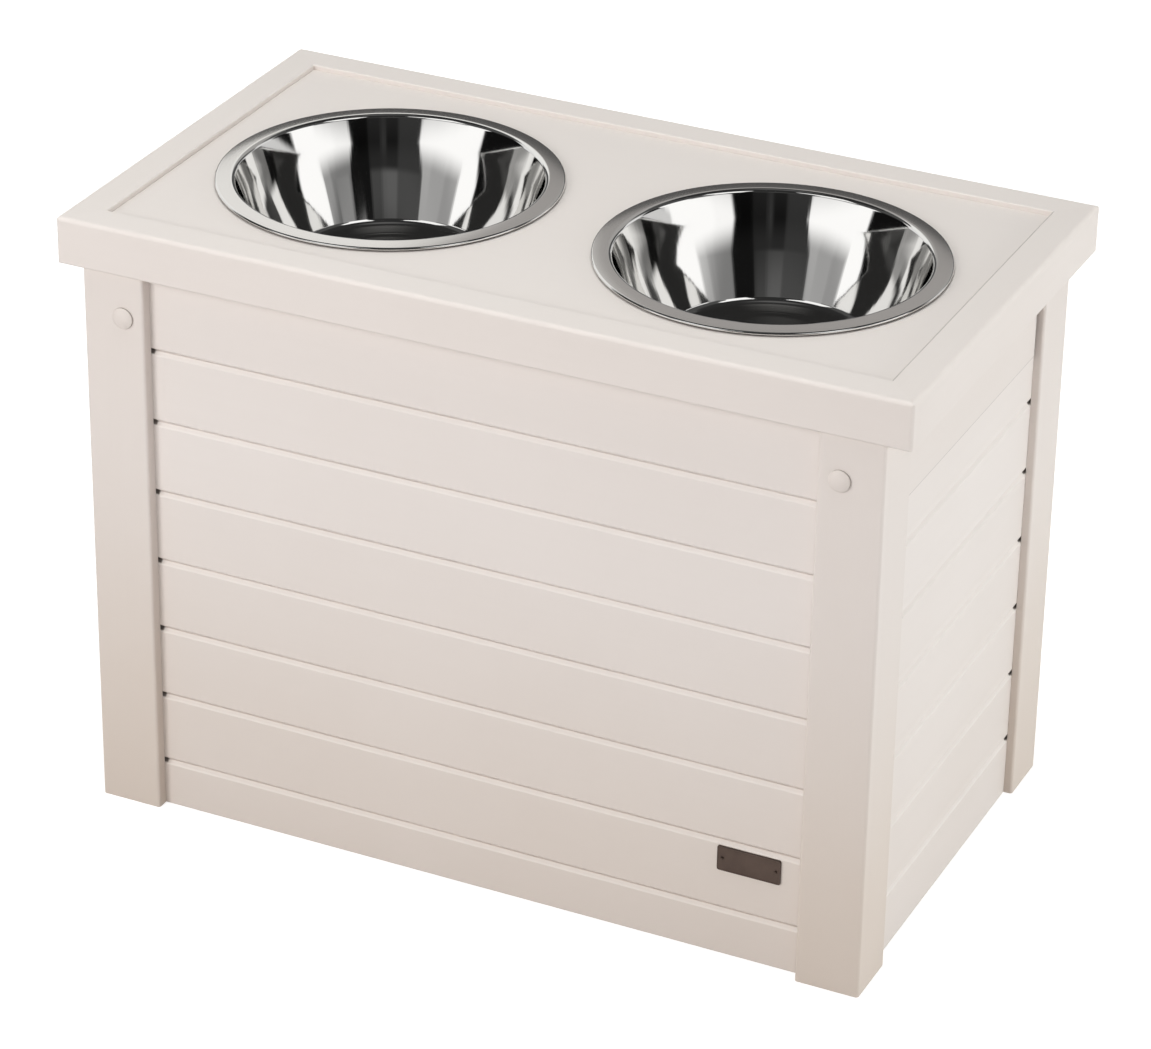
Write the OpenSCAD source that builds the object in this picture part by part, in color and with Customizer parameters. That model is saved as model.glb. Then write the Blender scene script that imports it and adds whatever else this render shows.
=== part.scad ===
// Elevated dog feeder with storage: a slatted box on four corner posts, with a hinged lid
// that carries two lift-out bowls. Millimetres. X runs left to right, Y front to back, Z up,
// and the origin is on the floor under the middle of the object.

/* [Overall] */
// Width of the lid, left to right
lid_w = 590; // [560:1:640]
// Depth of the lid, front to back
lid_d = 326; // [310:1:360]
// Height of the posts and walls
case_h = 395; // [380:1:440]
// How far the lid stands out past the posts at each side
side_overhang = 17; // [8:1:24]
// How far the lid stands out past the posts at the front
front_overhang = 3; // [0:0.5:8]

/* [Posts] */
// Width of a square corner post
post_w = 44; // [40:1:50]
// Depth of the slots that take the board ends
slot_depth = 8; // [6:0.5:8]
// Radius of the long edges of a post
post_edge = 2; // [0.5:0.5:3]

/* [Wall boards] */
// Thickness of a board
board_t = 12; // [10:0.5:12]
// Height of a full board's face, from joint to joint
board_face = 51.2; // [50:0.1:52]
// Height of the ripped lowest board at the front and back
front_first = 33.5; // [28:0.5:36]
// Height of the ripped lowest board at the sides
side_first = 43.5; // [40:0.5:48]
// How far the front and back walls lie behind the post faces
front_recess = 8.5; // [6:0.5:10]
// How far the side walls lie behind the post faces
side_recess = 6; // [4:0.5:8]
// Depth of the V-groove at a joint
vee = 2.6; // [1:0.1:3.5]
// Length of a tongue
tongue = 5; // [3:0.5:6]

/* [Side beams] */
// Height of a side beam
beam_h = 61.5; // [56:0.5:66]
// Gap between a beam's end and the post
beam_gap = 3.2; // [1:0.1:4]
// How far a beam stands proud of the boards under it
beam_proud = 1.2; // [0:0.1:2]

/* [Lid] */
// Thickness of the lid's rails
lid_h = 32.5; // [28:0.5:38]
// Width of the rim round the recessed field
rim_w = 24; // [20:0.5:28]
// Width of a rail with its ledge
rail_w = 36; // [32:0.5:40]
// How far the panel lies below the rim
field_drop = 3.5; // [2:0.5:6]
// Thickness of the panel
panel_t = 12; // [10:0.5:15]

/* [Bowls] */
// Distance of a bowl's centre from the middle of the lid
bowl_x = 136; // [130:1:140]
// How far the bowls lie forward of the middle of the lid
bowl_forward = 5; // [0:1:10]
// Radius over the rolled rim
bowl_rim_r = 115; // [112:0.1:118]
// Radius of the opening
bowl_mouth_r = 102; // [98:0.5:103]
// Radius of the wall where it bends inward
bowl_knee_r = 93; // [90:0.5:98]
// Depth of that bend below the seat of the rim
bowl_knee = 25; // [20:0.5:32]
// Depth of the bowl below the seat of its rim
bowl_depth = 65.5; // [50:0.5:75]
// Radius of the bottom where it meets the wall
bowl_foot_r = 74.5; // [60:0.5:80]
// Thickness of the bowl's steel
steel_t = 0.9; // [0.8:0.1:1.2]

/* [Hinges] */
// Length of a hinge
hinge_len = 38; // [34:1:40]
// Height of a leaf
leaf_h = 19; // [16:1:22]
// Thickness of a leaf
leaf_t = 1.5; // [1.2:0.1:1.8]
// Outer radius of the knuckles
knuckle_r = 2.85; // [2.5:0.05:3.2]
// Radius of the pin
pin_r = 1.4; // [1.2:0.1:1.5]

/* [Hidden] */

$fn = 72;
slack = 0.05;
cut = 1;

// The posts' outside faces. The body sits a little forward of the origin, so that the lid's
// front edge and the hinge knuckles at the back are equally far from it.
knuckle_gap = 0.3;
knuckle_out = knuckle_gap + 2 * knuckle_r;
body_w = lid_w - 2 * side_overhang;
body_d = lid_d - front_overhang;
mid_y = (front_overhang - knuckle_out) / 2;
front_y = mid_y - body_d / 2;
back_y = mid_y + body_d / 2;
side_x = body_w / 2;
post_in_x = side_x - post_w;
lid_mid_y = back_y - lid_d / 2;
top_z = case_h + lid_h;

// Boards
front_count = 8;
side_count = 7;
board_len_x = 2 * (post_in_x + slot_depth) - 1;
board_len_y = body_d - 2 * (post_w - slot_depth) - 1;
tongue_from = 4.5;
tongue_t = 4;
tongue_air = 0.5;
// chamfer of the fine seam under a beam, and of the beam's other edges
seam = 0.6;
beam_edge = 1;
wall_face_x = side_x - side_recess;
front_face_y = front_y + front_recess;

// Beam bolts: one through each post into the end of the beam, near the top
bolt_x = 249;
bolt_z = 364.5;
bolt_r = 3;
bolt_head_r = 5;
bolt_head_h = 6;
bore_r = 6.35;
bore_depth = 8;
bolt_reach = 74;
beam_hole_r = 3.5;
beam_hole_extra = 4;
hex_r = 2.9;
hex_depth = 3.5;
nut_r = 5;
nut_len = 16;
nut_setback = 68;
cap_r = 7.25;
cap_rise = 3;
cap_side = 1.4;
cap_edge = 0.6;

// Storage floor
floor_t = 9;
floor_top = 33;
cleat_w = 18;
cleat_inset = 2;
cleat_screw_xs = [-190, 0, 190];
cleat_screw_z = floor_top - floor_t - cleat_w / 2;

// Hinges
hinge_x = side_x - post_w / 2;
hinge_y = back_y + knuckle_gap + knuckle_r;
screw_pitch = 22;
screw_drop = 12;
screw_r = 1.5;
screw_head_r = 3;
screw_len = 14;

paint = [0.93, 0.90, 0.85];
raw_wood = [0.80, 0.68, 0.50];
steel = [0.72, 0.73, 0.75];
dark_steel = [0.45, 0.45, 0.47];

// Square with rounded corners, centred
module eased_square(w, d, r) {
    square([w - 2 * r, d], center = true);
    square([w, d - 2 * r], center = true);
    for (sx = [-1, 1], sy = [-1, 1])
        translate([sx * (w / 2 - r), sy * (d / 2 - r)]) circle(r);
}

// Extrudes a profile drawn in (y, z) along X, centred
module along_x(len) {
    translate([-len / 2, 0, 0]) rotate([90, 0, 90]) linear_extrude(len) children();
}

// Mirrors what is drawn at the front to the back of the body
module at_back() {
    translate([0, 2 * mid_y, 0]) mirror([0, 1, 0]) children();
}

// Corner post, drawn at the front right: a slot in the inner X face takes the front wall,
// one in the inner Y face takes the side wall, and a counterbored hole takes the beam bolt
module post_blank() {
    difference() {
        translate([side_x - post_w / 2, front_y + post_w / 2, 0])
            linear_extrude(case_h) eased_square(post_w, post_w, post_edge);
        translate([post_in_x - cut, front_face_y, -cut])
            cube([slot_depth + cut, board_t, case_h + 2 * cut]);
        translate([wall_face_x - board_t, front_y + post_w - slot_depth, -cut])
            cube([board_t, slot_depth + cut, case_h + 2 * cut]);
        translate([bolt_x, front_y - cut, bolt_z]) rotate([-90, 0, 0]) {
            cylinder(r = bolt_r + slack, h = post_w + 2 * cut);
            cylinder(r = bore_r, h = bore_depth + cut);
        }
    }
}

module post(right, front) {
    color(paint) mirror([right ? 0 : 1, 0, 0])
        if (front) post_blank();
        else difference() {
            at_back() post_blank();
            leaf_screw_holes(-1);
        }
}

// Section of one tongue-and-groove board: x is the depth from the face, y the height.
// Its chamfers make the V-groove with the boards above and below.
module board_section(z0, z1, low_vee, top_vee, has_groove, has_tongue) {
    difference() {
        union() {
            translate([0, z0]) square([board_t, z1 - z0]);
            if (has_tongue)
                translate([tongue_from, z1 - cut]) square([tongue_t, tongue + cut]);
        }
        translate([0, z0]) chamfer(low_vee);
        translate([0, z1]) chamfer(top_vee);
        if (has_groove) translate([0, z0]) tongue_groove();
    }
}

// What a 45 degree chamfer takes off a corner
module chamfer(leg) {
    if (leg > 0) rotate(45) square(leg * sqrt(2), center = true);
}

module tongue_groove() {
    translate([tongue_from, -cut]) square([tongue_t, tongue + tongue_air + cut]);
}

// Board k of a wall that is ripped to `first` at the bottom and ends at `wall_top`
module wall_board_section(k, count, first, wall_top, last_has_tongue) {
    lowest = k == 1;
    highest = k == count;
    z0 = lowest ? 0 : first + (k - 2) * board_face;
    z1 = highest ? wall_top : first + (k - 1) * board_face;
    top_vee = highest ? (last_has_tongue ? seam : 0) : vee;
    board_section(z0, z1, lowest ? 0 : vee, top_vee, !lowest, !highest || last_has_tongue);
}

module front_board(k) {
    color(paint) difference() {
        translate([0, front_face_y, 0]) along_x(board_len_x)
            wall_board_section(k, front_count, front_first, case_h, false);
        if (k == 1) cleat_screw_shanks();
    }
}

module back_board(k) {
    at_back() front_board(k);
}

// Drawn at the right: the profile's depth runs from the wall's face towards the middle
module right_board(k) {
    color(paint) translate([wall_face_x, mid_y + board_len_y / 2, 0])
        rotate([90, 0, 0]) linear_extrude(board_len_y) mirror([1, 0])
            wall_board_section(k, side_count, side_first, case_h - beam_h, true);
}

module left_board(k) {
    mirror([1, 0, 0]) right_board(k);
}

// Side beam: a little proud of the boards outside and flush with the posts inside, with a groove
// below for the highest board's tongue, and a bolt hole with a cross hole for the barrel nut at
// each end
module side_beam(right) {
    beam_t = post_w - side_recess + beam_proud;
    len = body_d - 2 * post_w - 2 * beam_gap;
    z0 = case_h - beam_h;
    color(paint) mirror([right ? 0 : 1, 0, 0]) difference() {
        translate([wall_face_x + beam_proud, mid_y + len / 2, 0])
            rotate([90, 0, 0]) linear_extrude(len) mirror([1, 0]) translate([0, z0])
                difference() {
                    square([beam_t, beam_h]);
                    chamfer(seam);
                    translate([0, beam_h]) chamfer(beam_edge);
                    translate([beam_t, beam_h]) chamfer(beam_edge);
                    translate([beam_t, 0]) chamfer(beam_edge);
                    translate([beam_proud, 0]) tongue_groove();
                }
        for (turn = [0, 1]) translate([0, mid_y, 0]) mirror([0, turn, 0])
            translate([0, front_y - mid_y, 0]) {
                translate([bolt_x, 0, bolt_z]) rotate([-90, 0, 0])
                    cylinder(r = beam_hole_r, h = bolt_reach + beam_hole_extra);
                translate([post_in_x - cut, nut_setback, bolt_z]) rotate([0, 90, 0])
                    cylinder(r = nut_r + slack, h = bolt_x + nut_len / 2 - post_in_x + cut);
            }
    }
}

// Places a child at the four bolt axes, with Z pointing into the post from its outside face
module at_bolts() {
    for (sx = [-1, 1], back = [0, 1])
        translate([sx * bolt_x, mid_y, bolt_z]) mirror([0, back, 0])
            translate([0, -body_d / 2, 0]) rotate([-90, 0, 0]) children();
}

// Socket-head bolts
module beam_bolts() {
    color(dark_steel) at_bolts() difference() {
        union() {
            translate([0, 0, bore_depth - bolt_head_h]) cylinder(r = bolt_head_r, h = bolt_head_h);
            translate([0, 0, bore_depth - cut]) cylinder(r = bolt_r, h = bolt_reach - bore_depth + cut);
        }
        translate([0, 0, bore_depth - bolt_head_h - cut])
            cylinder(r = hex_r, h = hex_depth + cut, $fn = 6);
    }
}

// Barrel nuts: cross dowels that the bolts screw into
module barrel_nuts() {
    color(dark_steel)
        for (sx = [-1, 1], back = [0, 1])
            mirror([sx < 0 ? 1 : 0, 0, 0]) translate([0, mid_y, 0]) mirror([0, back, 0])
                translate([bolt_x - nut_len / 2, nut_setback - body_d / 2, bolt_z])
                    difference() {
                        rotate([0, 90, 0]) cylinder(r = nut_r, h = nut_len);
                        translate([nut_len / 2, -nut_r - cut, 0]) rotate([-90, 0, 0])
                            cylinder(r = bolt_r + slack, h = 2 * nut_r + 2 * cut);
                    }
}

// Domed caps: a plug in the counterbore under a button that stands proud of the post, with a
// short upright side, a rounded edge and a shallow crown
module bolt_caps() {
    crown = cap_rise - cap_side;
    dome_r = (cap_r * cap_r + crown * crown) / (2 * crown);
    dome_mid = [0, dome_r - cap_rise];
    spread = asin(cap_r / dome_r);
    steps = 12;
    dome = [for (i = [0:steps - 1]) let (a = spread * i / steps) dome_mid + dome_r * [sin(a), -cos(a)]];
    foot = [cap_r, 0];
    rim = corner_arc(dome[steps - 1], [cap_r, -cap_side], foot, cap_edge);
    color(paint) at_bolts() union() {
        cylinder(r = bore_r, h = bore_depth - bolt_head_h);
        rotate_extrude() polygon(concat(dome, rim, [foot, [0, 0]]));
    }
}

// Storage floor, notched round the posts
module floor_panel() {
    w = 2 * (wall_face_x - board_t) - 2;
    d = body_d - 2 * (front_recess + board_t) - 2;
    notch_w = w / 2 - post_in_x + 1;
    notch_d = d / 2 - (body_d / 2 - post_w) + 1;
    color(raw_wood) translate([0, mid_y, floor_top - floor_t]) linear_extrude(floor_t)
        difference() {
            square([w, d], center = true);
            for (sx = [-1, 1], sy = [-1, 1])
                translate([sx * w / 2, sy * d / 2])
                    square([2 * notch_w, 2 * notch_d], center = true);
        }
}

module cleat_screw_shanks() {
    for (x = cleat_screw_xs)
        translate([x, front_face_y + 4, cleat_screw_z]) rotate([-90, 0, 0])
            cylinder(r = screw_r, h = board_t + cleat_w);
}

module floor_cleat_front() {
    inner_y = front_face_y + board_t + cleat_w;
    color(raw_wood) difference() {
        translate([-post_in_x + cleat_inset, front_face_y + board_t, floor_top - floor_t - cleat_w])
            cube([2 * (post_in_x - cleat_inset), cleat_w, cleat_w]);
        cleat_screw_shanks();
        for (x = cleat_screw_xs)
            translate([x, inner_y, cleat_screw_z]) rotate([90, 0, 0]) screw_head();
    }
}

module floor_cleat_back() {
    at_back() floor_cleat_front();
}

module cleat_screws() {
    inner_y = front_face_y + board_t + cleat_w;
    module row() {
        for (x = cleat_screw_xs)
            translate([x, inner_y, cleat_screw_z]) rotate([90, 0, 0])
                wood_screw(cleat_w + board_t - 4);
    }
    color(dark_steel) union() {
        row();
        at_back() row();
    }
}

// Countersunk screw: its head lies flush at z = 0 and it points along +Z
module screw_head() {
    cylinder(r1 = screw_head_r, r2 = screw_r, h = screw_head_r - screw_r);
}

module wood_screw(len) {
    difference() {
        union() {
            screw_head();
            cylinder(r = screw_r, h = len);
        }
        for (a = [0, 90]) rotate([0, 0, a])
            translate([-1.6, -0.35, -cut]) cube([3.2, 0.7, 0.8 + cut]);
    }
}

// Screw places of the hinge at the right: side 1 is the lid's leaf, -1 the post's.
// Z points into the wood from the outer face of the leaf.
module at_leaf_screws(side) {
    for (dx = [-1, 1])
        translate([hinge_x + dx * screw_pitch / 2, back_y + leaf_t, case_h + side * screw_drop])
            rotate([90, 0, 0]) children();
}

module leaf_screw_holes(side) {
    at_leaf_screws(side) cylinder(r = screw_r, h = screw_len + cut);
}

// Hinge leaf at the right. The barrel has five knuckles: the post's leaf has the first,
// third and fifth, the lid's leaf the second and fourth.
module leaf(side) {
    part = hinge_len / 5;
    x0 = hinge_x - hinge_len / 2;
    gap = 0.25;
    corner = 3;
    mine = side < 0 ? [0, 2, 4] : [1, 3];
    theirs = side < 0 ? [1, 3] : [0, 2, 4];
    color(steel) difference() {
        union() {
            translate([hinge_x, back_y, case_h + side * leaf_h / 2]) rotate([-90, 0, 0])
                linear_extrude(leaf_t) difference() {
                    square([hinge_len, leaf_h], center = true);
                    // the two outer corners are cut at 45 degrees
                    for (dx = [-1, 1]) translate([dx * hinge_len / 2, -side * leaf_h / 2])
                        rotate(45) square(corner, center = true);
                }
            for (i = mine)
                translate([x0 + i * part + gap / 2, hinge_y, case_h]) rotate([0, 90, 0])
                    cylinder(r = knuckle_r, h = part - gap);
        }
        for (i = theirs)
            translate([x0 + i * part - gap / 2, hinge_y, case_h]) rotate([0, 90, 0])
                cylinder(r = knuckle_r + gap, h = part + gap);
        translate([x0 - cut, hinge_y, case_h]) rotate([0, 90, 0])
            cylinder(r = pin_r + slack, h = hinge_len + 2 * cut);
        at_leaf_screws(side) {
            screw_head();
            translate([0, 0, -cut]) cylinder(r = screw_r, h = leaf_t + 2 * cut);
        }
    }
}

module post_leaf(right) {
    mirror([right ? 0 : 1, 0, 0]) leaf(-1);
}

module lid_leaf(right) {
    mirror([right ? 0 : 1, 0, 0]) leaf(1);
}

// Loose pin with a button head at each end
module hinge_pin(right) {
    head = 0.9;
    color(dark_steel) mirror([right ? 0 : 1, 0, 0])
        translate([hinge_x - hinge_len / 2, hinge_y, case_h]) rotate([0, 90, 0]) union() {
            cylinder(r = pin_r, h = hinge_len);
            translate([0, 0, -head]) cylinder(r1 = 1.5, r2 = 2.2, h = head);
            translate([0, 0, hinge_len]) cylinder(r1 = 2.2, r2 = 1.5, h = head);
        }
}

module leaf_screws(side) {
    color(dark_steel)
        for (turn = [0, 1]) mirror([turn, 0, 0])
            at_leaf_screws(side) wood_screw(screw_len);
}

// Section of a lid rail: x is the distance in from the outer face, y the height.
// The ledge carries the panel and the rim stands above it.
module rail_section() {
    top_r = 3;
    low_r = 1.5;
    difference() {
        union() {
            translate([0, case_h]) square([rim_w, lid_h]);
            translate([0, case_h]) square([rail_w, lid_h - field_drop - panel_t]);
        }
        translate([0, top_z]) round_off(top_r, 1, -1);
        translate([rim_w, top_z]) round_off(1, -1, -1);
        translate([0, case_h]) round_off(low_r, 1, 1);
        translate([rail_w, case_h]) round_off(low_r, -1, 1);
    }
}

// What is taken off a corner to round it: sx and sy point into the material
module round_off(r, sx, sy) {
    difference() {
        translate([sx > 0 ? -cut : -r, sy > 0 ? -cut : -r]) square(r + cut);
        translate([sx * r, sy * r]) circle(r);
    }
}

// Mitred rail along the front, `len` long
module rail(len) {
    intersection() {
        along_x(len) rail_section();
        translate([0, 0, case_h - cut]) linear_extrude(lid_h + 2 * cut)
            polygon([
                [-len / 2, 0], [len / 2, 0],
                [len / 2 - rail_w, rail_w], [-len / 2 + rail_w, rail_w]
            ]);
    }
}

// The lid's vertical corners are eased
module lid_outline() {
    translate([0, lid_mid_y, case_h - cut]) linear_extrude(lid_h + 2 * cut)
        eased_square(lid_w, lid_d, 2.5);
}

module lid_front_rail() {
    color(paint) intersection() {
        translate([0, lid_mid_y - lid_d / 2, 0]) rail(lid_w);
        lid_outline();
    }
}

module lid_back_rail() {
    color(paint) difference() {
        translate([0, 2 * lid_mid_y, 0]) mirror([0, 1, 0]) lid_front_rail();
        for (turn = [0, 1]) mirror([turn, 0, 0]) leaf_screw_holes(1);
    }
}

module lid_side_rail(right) {
    color(paint) intersection() {
        mirror([right ? 0 : 1, 0, 0]) translate([lid_w / 2, lid_mid_y, 0])
            rotate([0, 0, 90]) rail(lid_d);
        lid_outline();
    }
}

// Recessed panel with a round hole for each bowl
module lid_panel() {
    hole_r = bowl_mouth_r + steel_t + 2.1;
    color(paint) translate([0, lid_mid_y, top_z - field_drop - panel_t]) difference() {
        linear_extrude(panel_t) difference() {
            square([lid_w - 2 * rim_w, lid_d - 2 * rim_w], center = true);
            for (sx = [-1, 1])
                translate([sx * bowl_x, -bowl_forward]) circle(hole_r, $fn = 180);
        }
    }
}

// Points of the arc that rounds corner b between a and c with radius r
function unit(v) = v / norm(v);
function corner_arc(a, b, c, r, n = 8) =
    let (
        u = unit(a - b),
        w = unit(c - b),
        half = acos(u * w) / 2,
        start = b + u * (r / tan(half)),
        end = b + w * (r / tan(half)),
        centre = b + unit(u + w) * (r / sin(half)),
        a0 = atan2(start[1] - centre[1], start[0] - centre[0]),
        a1 = atan2(end[1] - centre[1], end[0] - centre[0]),
        sweep = ((a1 - a0 + 540) % 360) - 180
    )
    [for (i = [0:n]) centre + r * [cos(a0 + sweep * i / n), sin(a0 + sweep * i / n)]];

// A line of points moved sideways by d
function tangent(p, i) = unit(p[min(i + 1, len(p) - 1)] - p[max(i - 1, 0)]);
function beside(p, d) =
    [for (i = [0:len(p) - 1]) let (t = tangent(p, i)) p[i] + d * [-t[1], t[0]]];
function reversed(p) = [for (i = [len(p) - 1:-1:0]) p[i]];

// Middle line of the bowl's steel, from the free edge of the rolled rim, round the bead, up
// the sloping flange, over the shoulder, down the steep upper wall to its bend, down the
// tapered lower wall, across the foot and up onto the raised disc. Radius first, then height
// over the lid's panel.
bead_r = 1.3;
bead_gap = 0.25;
bead_mid = bead_r - steel_t / 2;
flange_slope = 4;
mouth_mid = bowl_mouth_r + steel_t / 2;
bead_c = [bowl_rim_r - bead_r, bead_gap + bead_r];
bead_end = bead_c + bead_mid * [cos(90 - flange_slope), sin(90 - flange_slope)];
shoulder = [mouth_mid, bead_end[1] + (bead_end[0] - mouth_mid) * tan(flange_slope)];
knee = [bowl_knee_r + steel_t / 2, -bowl_knee];
foot = [bowl_foot_r, -bowl_depth];
disc_out = [57, -bowl_depth];
disc_in = [54, -bowl_depth + 1.5];
disc_mid = [0, -bowl_depth + 1.5];
bowl_line = concat(
    [for (a = [-165:15:60]) bead_c + bead_mid * [cos(a), sin(a)]],
    [bead_end],
    corner_arc(bead_end, shoulder, knee, 3),
    corner_arc(shoulder, knee, foot, 10),
    corner_arc(knee, foot, disc_out, 6.5),
    corner_arc(foot, disc_out, disc_in, 4, 3),
    corner_arc(disc_out, disc_in, disc_mid, 4, 3),
    [disc_mid]
);

// Spun steel bowl
module bowl(side) {
    color(steel)
        translate([side * bowl_x, lid_mid_y - bowl_forward, top_z - field_drop])
            rotate_extrude($fn = 180)
                polygon(concat(
                    beside(bowl_line, steel_t / 2),
                    reversed(beside(bowl_line, -steel_t / 2))
                ));
}

post(false, true);  // post_front_left
post(true, true);  // post_front_right
post(false, false);  // post_back_left
post(true, false);  // post_back_right
side_beam(false);  // side_beam_left
side_beam(true);  // side_beam_right
for (k = [1:front_count]) {
    front_board(k);
    back_board(k);
}
for (k = [1:side_count]) {
    left_board(k);
    right_board(k);
}
floor_panel();
floor_cleat_front();
floor_cleat_back();
cleat_screws();
beam_bolts();
barrel_nuts();
bolt_caps();
post_leaf(false);  // post_leaf_left
post_leaf(true);  // post_leaf_right
hinge_pin(false);  // hinge_pin_left
hinge_pin(true);  // hinge_pin_right
leaf_screws(-1);  // post_leaf_screws
lid_leaf(false);  // lid_leaf_left
lid_leaf(true);  // lid_leaf_right
leaf_screws(1);  // lid_leaf_screws
lid_front_rail();
lid_back_rail();
lid_side_rail(false);  // lid_left_rail
lid_side_rail(true);  // lid_right_rail
lid_panel();
bowl(-1);  // bowl_left
bowl(1);  // bowl_right
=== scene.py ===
# %% [markdown]
# # Elevated dog feeder with storage
#
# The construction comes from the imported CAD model: posts, tongue-and-groove boards, beams, the hinged lid
# and its hardware, each at its real size. This lesson gives those pieces their finish, eases the sharp edges
# of the wood as sandpaper does, spins the two steel bowls, and adds the small plate on the front wall.

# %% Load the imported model
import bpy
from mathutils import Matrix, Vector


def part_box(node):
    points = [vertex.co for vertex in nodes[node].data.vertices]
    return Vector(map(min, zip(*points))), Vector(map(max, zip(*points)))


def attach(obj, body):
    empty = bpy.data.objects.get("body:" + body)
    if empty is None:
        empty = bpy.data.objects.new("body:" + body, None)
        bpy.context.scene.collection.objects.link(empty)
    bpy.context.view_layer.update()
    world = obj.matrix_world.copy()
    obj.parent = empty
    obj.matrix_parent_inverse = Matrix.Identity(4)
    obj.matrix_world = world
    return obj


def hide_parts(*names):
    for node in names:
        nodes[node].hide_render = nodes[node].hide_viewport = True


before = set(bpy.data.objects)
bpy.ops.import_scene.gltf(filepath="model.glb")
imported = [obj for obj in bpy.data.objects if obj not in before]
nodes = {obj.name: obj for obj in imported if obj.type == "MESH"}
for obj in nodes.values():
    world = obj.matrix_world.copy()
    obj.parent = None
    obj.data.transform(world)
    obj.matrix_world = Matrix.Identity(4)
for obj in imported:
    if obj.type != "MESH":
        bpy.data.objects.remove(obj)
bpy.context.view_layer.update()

# %% The rest of what the lesson uses
import math
import bmesh
import bpy
from mathutils import Matrix, Vector

# %% [markdown]
# ## Places taken from the frame
#
# Finishes follow the work: grain runs along a board, and paint gathers in a groove. So the lesson reads the
# places it needs from the CAD pieces' own boxes and doesn't repeat their numbers.

# %% Boards, lid and bowls
lid_low = Vector((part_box("lid_left_rail")[0].x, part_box("lid_front_rail")[0].y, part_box("lid_front_rail")[0].z))
lid_high = Vector((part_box("lid_right_rail")[1].x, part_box("lid_back_rail")[1].y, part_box("lid_back_rail")[1].z))
field_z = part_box("lid_panel")[1].z
front_wall_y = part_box("front_board_1")[0].y
front_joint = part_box("front_board_2")[0].z
side_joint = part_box("right_board_2")[0].z
board_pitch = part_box("front_board_3")[0].z - front_joint
front_ends = (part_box("post_front_left")[1].x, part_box("post_front_right")[0].x)
side_ends = (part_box("post_front_right")[1].y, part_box("post_back_right")[0].y)
post_faces_y = (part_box("post_front_left")[0].y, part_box("post_back_left")[1].y)
beam_low_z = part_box("side_beam_right")[0].z
bowl_low, bowl_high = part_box("bowl_right")
bowl_x = (bowl_low.x + bowl_high.x) / 2
bowl_y = (bowl_low.y + bowl_high.y) / 2
print("lid", [round(v, 4) for v in lid_high - lid_low], "board pitch", round(board_pitch, 4))
print("bowl centre", round(bowl_x, 4), round(bowl_y, 4), "field at", round(field_z, 4))

# %% [markdown]
# ## Camera
#
# The photograph was taken with a long lens from the front right and above, which keeps opposite edges of the
# lid nearly parallel. A perspective fit of the box's corners gives the turn, the height and the distance,
# and the slight roll of the camera. The picture is 1151 by 1049 pixels, and its middle is the lens's middle.

# %% Camera at the photograph's angle
picture_width = 1151
focal_pixels = 4448.9
azimuth = math.radians(25.021)
elevation = math.radians(27.977)
roll = math.radians(0.956)
distance = 2.86468
aim_left = 0.00381
aim_below = 0.20200

back = Vector((
    math.sin(azimuth) * math.cos(elevation),
    -math.cos(azimuth) * math.cos(elevation),
    math.sin(elevation),
))
level_right = (-back).cross(Vector((0, 0, 1))).normalized()
level_up = back.cross(level_right)
right = math.cos(roll) * level_right + math.sin(roll) * level_up
up = math.cos(roll) * level_up - math.sin(roll) * level_right
lid_middle = Vector(((lid_low.x + lid_high.x) / 2, (lid_low.y + lid_high.y) / 2, lid_high.z))
aim = lid_middle - aim_left * right - aim_below * up

camera_data = bpy.data.cameras.new("camera")
camera_data.sensor_width = 36
camera_data.lens = focal_pixels / picture_width * camera_data.sensor_width
camera = bpy.data.objects.new("camera", camera_data)
camera_turn = Matrix((right, up, back)).transposed().to_4x4()
camera.matrix_world = Matrix.Translation(aim + distance * back) @ camera_turn
bpy.context.scene.collection.objects.link(camera)
bpy.context.scene.camera = camera
bpy.context.scene.view_settings.view_transform = "Standard"
print("lens", round(camera_data.lens, 2), "mm")
print("camera at", [round(v, 3) for v in camera.matrix_world.translation])

# %% [markdown]
# ## Writing shaders as sums
#
# A material is a net of nodes. Most of them do small sums, and a page of links is hard to read. So one class
# wraps a number socket and turns plus, minus and times into Math nodes. Another stands for the net itself:
# one of its methods adds any node from its type, its settings and its sockets, and the others add the few
# that every finish here needs, such as noise, a mix of two colours and a bump.

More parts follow.
